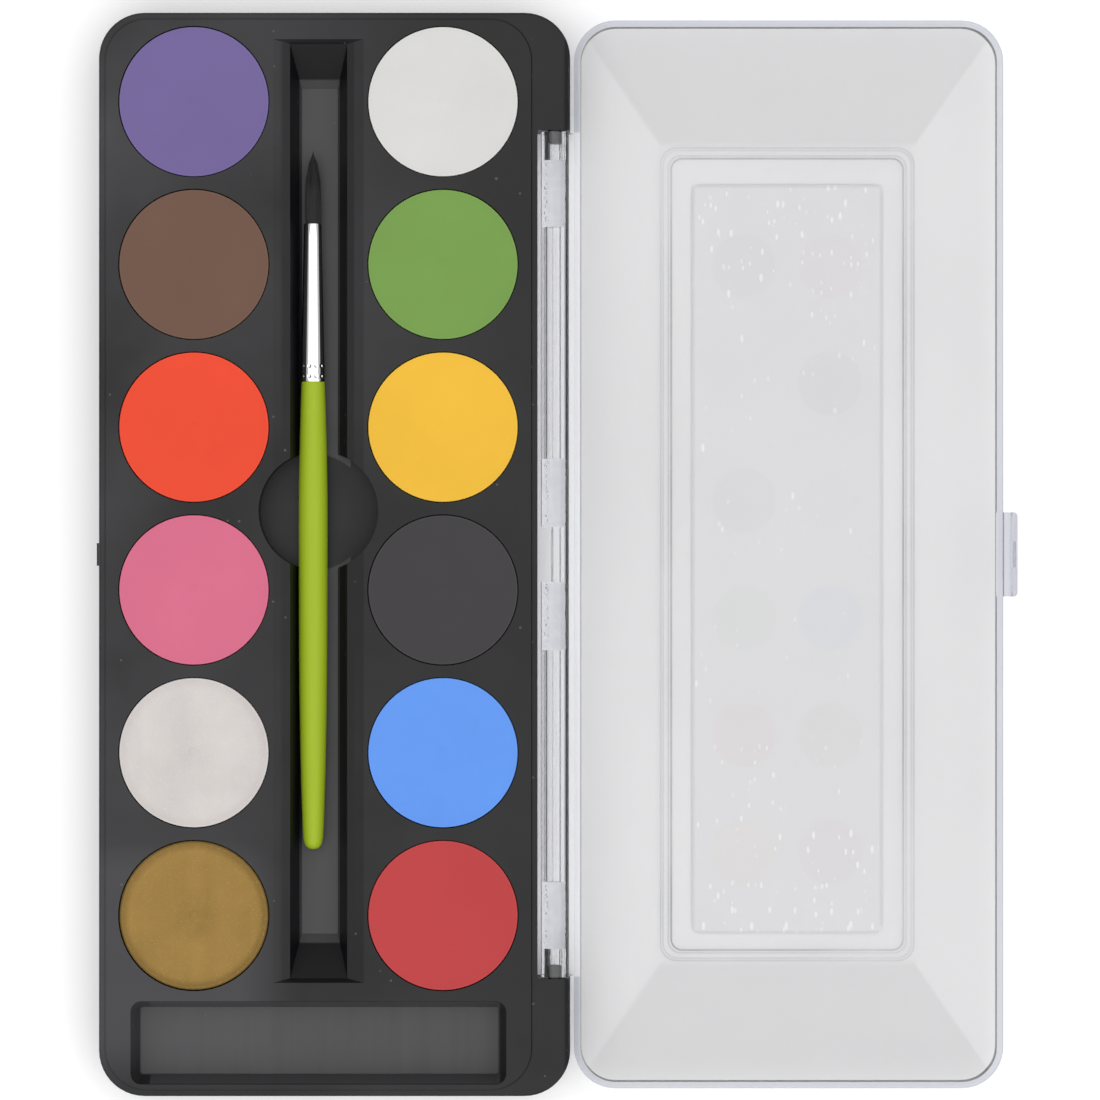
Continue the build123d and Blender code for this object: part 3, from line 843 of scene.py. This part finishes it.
class PALETTE_OT_stage(bpy.types.Operator):
    """Makes the pale floor, the soft light and the camera straight above"""

    bl_idname = "palette.stage"
    bl_label = "Stage"

    def execute(self, context):
        settings = context.scene.palette_stage
        form = bmesh.new()
        bmesh.ops.create_grid(form, x_segments=1, y_segments=1, size=settings.floor_size / 2)
        bmesh.ops.translate(form, vec=(0.0, 0.0, -settings.floor_drop), verts=form.verts)
        mesh = bpy.data.meshes.new("floor")
        form.to_mesh(mesh)
        form.free()
        floor = bpy.data.objects.new("floor", mesh)
        context.scene.collection.objects.link(floor)
        finish, shading, end = new_finish("pale_floor")
        matt = shading.node("BsdfDiffuse", {"Color": solid(settings.floor_colour)})
        glow_strength = shading.math("MULTIPLY", seen_rays(shading), settings.floor_lift)
        glow = shading.node("Emission", {"Strength": glow_strength})
        both = shading.node("AddShader", {0: matt.outputs[0], 1: glow.outputs[0]})
        shading.put(end.inputs["Surface"], both.outputs[0])
        mesh.materials.append(finish)

        world = bpy.data.worlds.new("studio")
        world.use_nodes = True
        world.node_tree.nodes.clear()
        sky = Shading(world.node_tree)
        air = sky.node("Background", {"Color": (1.0, 1.0, 1.0, 1.0), "Strength": settings.world_light})
        sky.node("OutputWorld", {"Surface": air.outputs[0]})
        context.scene.world = world

        lamp("lamp_over", settings.lamp_place, (0, 0, 0), settings.lamp_light, settings.lamp_size)

        lens = bpy.data.cameras.new("camera")
        camera = bpy.data.objects.new("camera", lens)
        camera.location = (settings.camera_x, settings.camera_y, settings.camera_height)
        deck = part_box("base_tray")[1].z
        lens.lens = lens.sensor_width * (settings.camera_height - deck) / settings.picture_width
        context.scene.collection.objects.link(camera)
        context.scene.camera = camera
        context.scene.view_settings.view_transform = "Standard"
        return {"FINISHED"}


class PALETTE_OT_base(bpy.types.Operator):
    """Gives the moulded base its satin black plastic"""

    bl_idname = "palette.base"
    bl_label = "Base"

    def execute(self, context):
        dress("base_tray", moulded_black(context.scene.palette_base))
        return {"FINISHED"}


class PALETTE_OT_cakes(bpy.types.Operator):
    """Makes the twelve pressed cakes of paint"""

    bl_idname = "palette.cakes"
    bl_label = "Cakes"

    dishes = {"gold": 0.26, "silver": 0.14, "blue": 0.1}
    pearls = {"gold": 0.9, "silver": 0.45, "blue": 0.1}
    soft_edges = {"gold": 3.0}
    flat_dish = 0.06
    nub_rise = 0.12
    foot_bevel = 0.15
    steps = 120

    def execute(self, context):
        settings = context.scene.palette_cakes
        for number, name in enumerate(COLOURS):
            self.make_cake(settings, name, number)
        return {"FINISHED"}

    def make_cake(self, settings, name, number):
        low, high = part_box("paint_" + name)
        centre = (low + high) / 2
        radius = (high.x - low.x) / 2 + settings.swell
        top = high.z - self.nub_rise * MM
        dish = self.dishes.get(name, self.flat_dish) * MM
        bevel = self.foot_bevel * MM
        edge = settings.edge_round * self.soft_edges.get(name, 1.0)
        rim = radius - settings.rim_width
        nub = settings.nub_radius
        outline = [
            (0.0, low.z),
            (radius - bevel, low.z),
            (radius, low.z + bevel),
            (radius, top - edge),
            (radius - 0.1 * edge, top - 0.55 * edge),
            (radius - 0.35 * edge, top - 0.2 * edge),
            (radius - 0.75 * edge, top - 0.03 * edge),
            (radius - 1.1 * edge, top),
            (rim, top - 0.35 * dish),
            (rim - 0.8 * MM, top - 0.8 * dish),
            (rim - 2.0 * MM, top - dish),
            (radius * 0.5, top - 0.8 * dish),
            (nub * 1.6, top - 0.9 * dish),
            (nub * 1.1, top - 0.8 * dish),
            (nub * 0.8, top + 0.06 * MM - 0.5 * dish),
            (nub * 0.4, top + 0.08 * MM - 0.5 * dish),
            (0.0, top - 0.5 * dish),
        ]
        profile = [(centre.x + across, centre.y, height) for across, height in outline]
        form = turned_form(profile, centre, (0, 0, 1), self.steps)
        finish = pressed_paint(
            name, settings, getattr(settings, name), self.pearls.get(name, 0.0), number, centre, radius
        )
        finish_piece(form, "cake_" + name, "base", [finish], "paint_" + name)


class PALETTE_OT_lid(bpy.types.Operator):
    """Gives the lid its clear plastic"""

    bl_idname = "palette.lid"
    bl_label = "Lid"

    def execute(self, context):
        dress("lid", clear_plastic(context.scene.palette_lid))
        return {"FINISHED"}


class PALETTE_OT_label(bpy.types.Operator):
    """Makes the sticker on the outside of the lid"""

    bl_idname = "palette.label"
    bl_label = "Label"

    def execute(self, context):
        settings = context.scene.palette_label
        low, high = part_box("lid_label")
        form = bmesh.new()
        bmesh.ops.create_cube(form, size=1.0)
        extent = high - low
        extent.z -= settings.film_gap
        bmesh.ops.scale(form, vec=extent, verts=form.verts)
        middle = Vector(((low.x + high.x) / 2, (low.y + high.y) / 2, low.z + extent.z / 2))
        bmesh.ops.translate(form, vec=middle, verts=form.verts)
        uprights = [
            edge for edge in form.edges if abs(edge.verts[0].co.z - edge.verts[1].co.z) > extent.z / 2
        ]
        bmesh.ops.bevel(
            form,
            geom=uprights,
            offset=LABEL_CORNER * MM,
            segments=8,
            affect="EDGES",
            profile=0.5,
            material=-1,
        )
        form.normal_update()
        for face in form.faces:
            face.material_index = 1 if face.normal.z < -0.5 else 0
        middle = (low + high) / 2
        reach = (high - low) / 2
        finishes = [sticker_back(settings, middle, reach), sticker_front(settings, middle, reach)]
        piece = finish_piece(form, "label_sheet", "lid", finishes, "lid_label")
        piece.data.shade_flat()
        return {"FINISHED"}


class PALETTE_OT_handle(bpy.types.Operator):
    """Gives the handle of the brush its green lacquer"""

    bl_idname = "palette.handle"
    bl_label = "Handle"

    def execute(self, context):
        dress("brush_handle", handle_lacquer(context.scene.palette_brush))
        return {"FINISHED"}


class PALETTE_OT_ferrule(bpy.types.Operator):
    """Turns the nickel ferrule and presses its two rings of dents"""

    bl_idname = "palette.ferrule"
    bl_label = "Ferrule"

    mouth_radius = 1.85
    rings = (1.1, 3.2)
    wall = 0.22
    lip = 0.12
    end_bevel = 0.06
    ring_step = 0.105
    ring_reach = 5
    body_steps = 8
    steps_per_dent = 13

    def execute(self, context):
        settings = context.scene.palette_brush
        low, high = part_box("brush_ferrule")
        centre = (low + high) / 2
        end_radius = (high.x - low.x) / 2
        mouth_radius = self.mouth_radius * MM
        reach = high.y - low.y

        def radius_at(along):
            return end_radius + (mouth_radius - end_radius) * along / reach

        places = [self.end_bevel * MM]
        for ring in self.rings:
            for step in range(-self.ring_reach, self.ring_reach + 1):
                places.append(ring * MM + step * self.ring_step * MM)
        body_start = places[-1]
        for step in range(1, self.body_steps + 1):
            places.append(body_start + (reach - self.lip * MM - body_start) * step / self.body_steps)
        outline = [(radius_at(0) - 0.05 * MM, 0.0)]
        outline += [(radius_at(place), place) for place in places]
        outline += [
            (mouth_radius - 0.02 * MM, reach - 0.05 * MM),
            (mouth_radius - 0.07 * MM, reach - 0.01 * MM),
            (mouth_radius - self.lip * MM, reach),
            (mouth_radius - 0.18 * MM, reach - 0.02 * MM),
            (mouth_radius - self.wall * MM, reach - 0.09 * MM),
            (end_radius - self.wall * MM, 0.0),
        ]
        profile = [(centre.x + across, low.y + along, centre.z) for across, along in outline]
        steps = settings.dents * self.steps_per_dent
        form = turned_form(profile, centre, (0, 1, 0), steps, closed=True)
        for vert in form.verts:
            self.press(vert, centre, low.y, radius_at, settings)
        finish_piece(
            form, "ferrule_tube", "brush", [bright_nickel(settings)], "brush_ferrule"
        )
        return {"FINISHED"}

    def press(self, vert, centre, start, radius_at, settings):
        """Pushes a point of the outer wall in where a dent is pressed."""
        along = vert.co.y - start
        arm = Vector((vert.co.x - centre.x, 0.0, vert.co.z - centre.z))
        if arm.length < radius_at(along) - self.end_bevel * MM:
            return
        turn = math.atan2(arm.z, arm.x) / math.tau * settings.dents
        offset = turn + 0.5
        round_way = (offset - round(offset)) * math.tau * arm.length / settings.dents
        for ring in self.rings:
            away = math.hypot(round_way, along - ring * MM) / settings.dent_radius
            if away < 1.0:
                depth = settings.dent_depth * (1.0 + math.cos(math.pi * away)) / 2
                vert.co -= arm.normalized() * depth


class PALETTE_OT_bristles(bpy.types.Operator):
    """Makes the pointed black hair of the brush"""

    bl_idname = "palette.bristles"
    bl_label = "Bristles"

    golden_turn = math.radians(137.508)
    root_share = 0.04
    waver = 0.025
    seed = 7
    tip_share = 0.45
    tip_power = 1.8
    shortest = 0.93
    thinning = (1.0, 1.0, 1.0, 1.0, 0.95, 0.85, 0.65, 0.3)
    spreads = ((-0.05, 1.5), (0.0, 1.52), (0.3, 1.62), (0.5, 1.52), (0.7, 1.46), (0.85, 1.4), (0.92, 0.75))
    tip = (1.01, 0.12)

    def execute(self, context):
        settings = context.scene.palette_brush
        low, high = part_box("brush_bristles")
        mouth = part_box("brush_ferrule")[1].y
        centre = (low + high) / 2
        chance = random.Random(self.seed)
        curve = bpy.data.curves.new("brush_hair", "CURVE")
        curve.dimensions = "3D"
        curve.bevel_depth = settings.strand_radius
        curve.bevel_resolution = 0
        reach = high.y - mouth
        steps = len(self.thinning) - 1
        for number in range(settings.strands):
            place = math.sqrt((number + 0.5) / settings.strands)
            turn = self.golden_turn * number
            end = 1.0 - self.tip_share * place**self.tip_power * chance.uniform(self.shortest, 1.0)
            spline = curve.splines.new("POLY")
            spline.points.add(steps)
            for step, point in enumerate(spline.points):
                along = -self.root_share + (end + self.root_share) * step / steps
                spread = place * self.bundle_radius(along) * MM
                wander = self.waver * MM * step / steps
                point.co = (
                    centre.x + spread * math.cos(turn) + chance.uniform(-wander, wander),
                    mouth + along * reach,
                    centre.z + spread * math.sin(turn) + chance.uniform(-wander, wander),
                    1.0,
                )
                point.radius = self.thinning[step]
        holder = bpy.data.objects.new("brush_hair_lines", curve)
        context.scene.collection.objects.link(holder)
        context.view_layer.update()
        mesh = bpy.data.meshes.new_from_object(holder.evaluated_get(context.evaluated_depsgraph_get()))
        form = bmesh.new()
        form.from_mesh(mesh)
        bpy.data.objects.remove(holder)
        bpy.data.curves.remove(curve)
        bpy.data.meshes.remove(mesh)
        finish_piece(form, "brush_hair", "brush", [black_hair(settings)], "brush_bristles")
        return {"FINISHED"}

    def bundle_radius(self, along):
        """Radius in millimetres that the bundle would have if no hair ended before this share of it."""
        last_place, last_radius = self.spreads[0]
        for place, radius in (*self.spreads[1:], self.tip):
            if along <= place:
                part = (along - last_place) / (place - last_place)
                return last_radius + (radius - last_radius) * part
            last_place, last_radius = place, radius
        return last_radius


class PALETTE_PT_panel(bpy.types.Panel):
    """Lists the steps that make the palette"""

    bl_idname = "PALETTE_PT_panel"
    bl_label = "Face Paint Palette"
    bl_space_type = "VIEW_3D"
    bl_region_type = "UI"
    bl_category = "Palette"

    def draw(self, context):
        for operator in OPERATORS:
            self.layout.operator(operator.bl_idname)


OPERATORS = (
    PALETTE_OT_stage,
    PALETTE_OT_base,
    PALETTE_OT_cakes,
    PALETTE_OT_lid,
    PALETTE_OT_label,
    PALETTE_OT_handle,
    PALETTE_OT_ferrule,
    PALETTE_OT_bristles,
)
SETTINGS = {
    "palette_stage": StageSettings,
    "palette_base": BaseSettings,
    "palette_cakes": CakeSettings,
    "palette_lid": LidSettings,
    "palette_label": LabelSettings,
    "palette_brush": BrushSettings,
}


def register():
    for name, group in SETTINGS.items():
        bpy.utils.register_class(group)
        setattr(bpy.types.Scene, name, PointerProperty(type=group))
    for operator in OPERATORS:
        bpy.utils.register_class(operator)
    bpy.utils.register_class(PALETTE_PT_panel)


def unregister():
    bpy.utils.unregister_class(PALETTE_PT_panel)
    for operator in reversed(OPERATORS):
        bpy.utils.unregister_class(operator)
    for name, group in SETTINGS.items():
        delattr(bpy.types.Scene, name)
        bpy.utils.unregister_class(group)


def main():
    register()
    bpy.ops.palette.stage()
    bpy.ops.palette.base()
    bpy.ops.palette.cakes()
    bpy.ops.palette.lid()
    bpy.ops.palette.label()
    bpy.ops.palette.handle()
    bpy.ops.palette.ferrule()
    bpy.ops.palette.bristles()


if __name__ == "__main__":
    main()
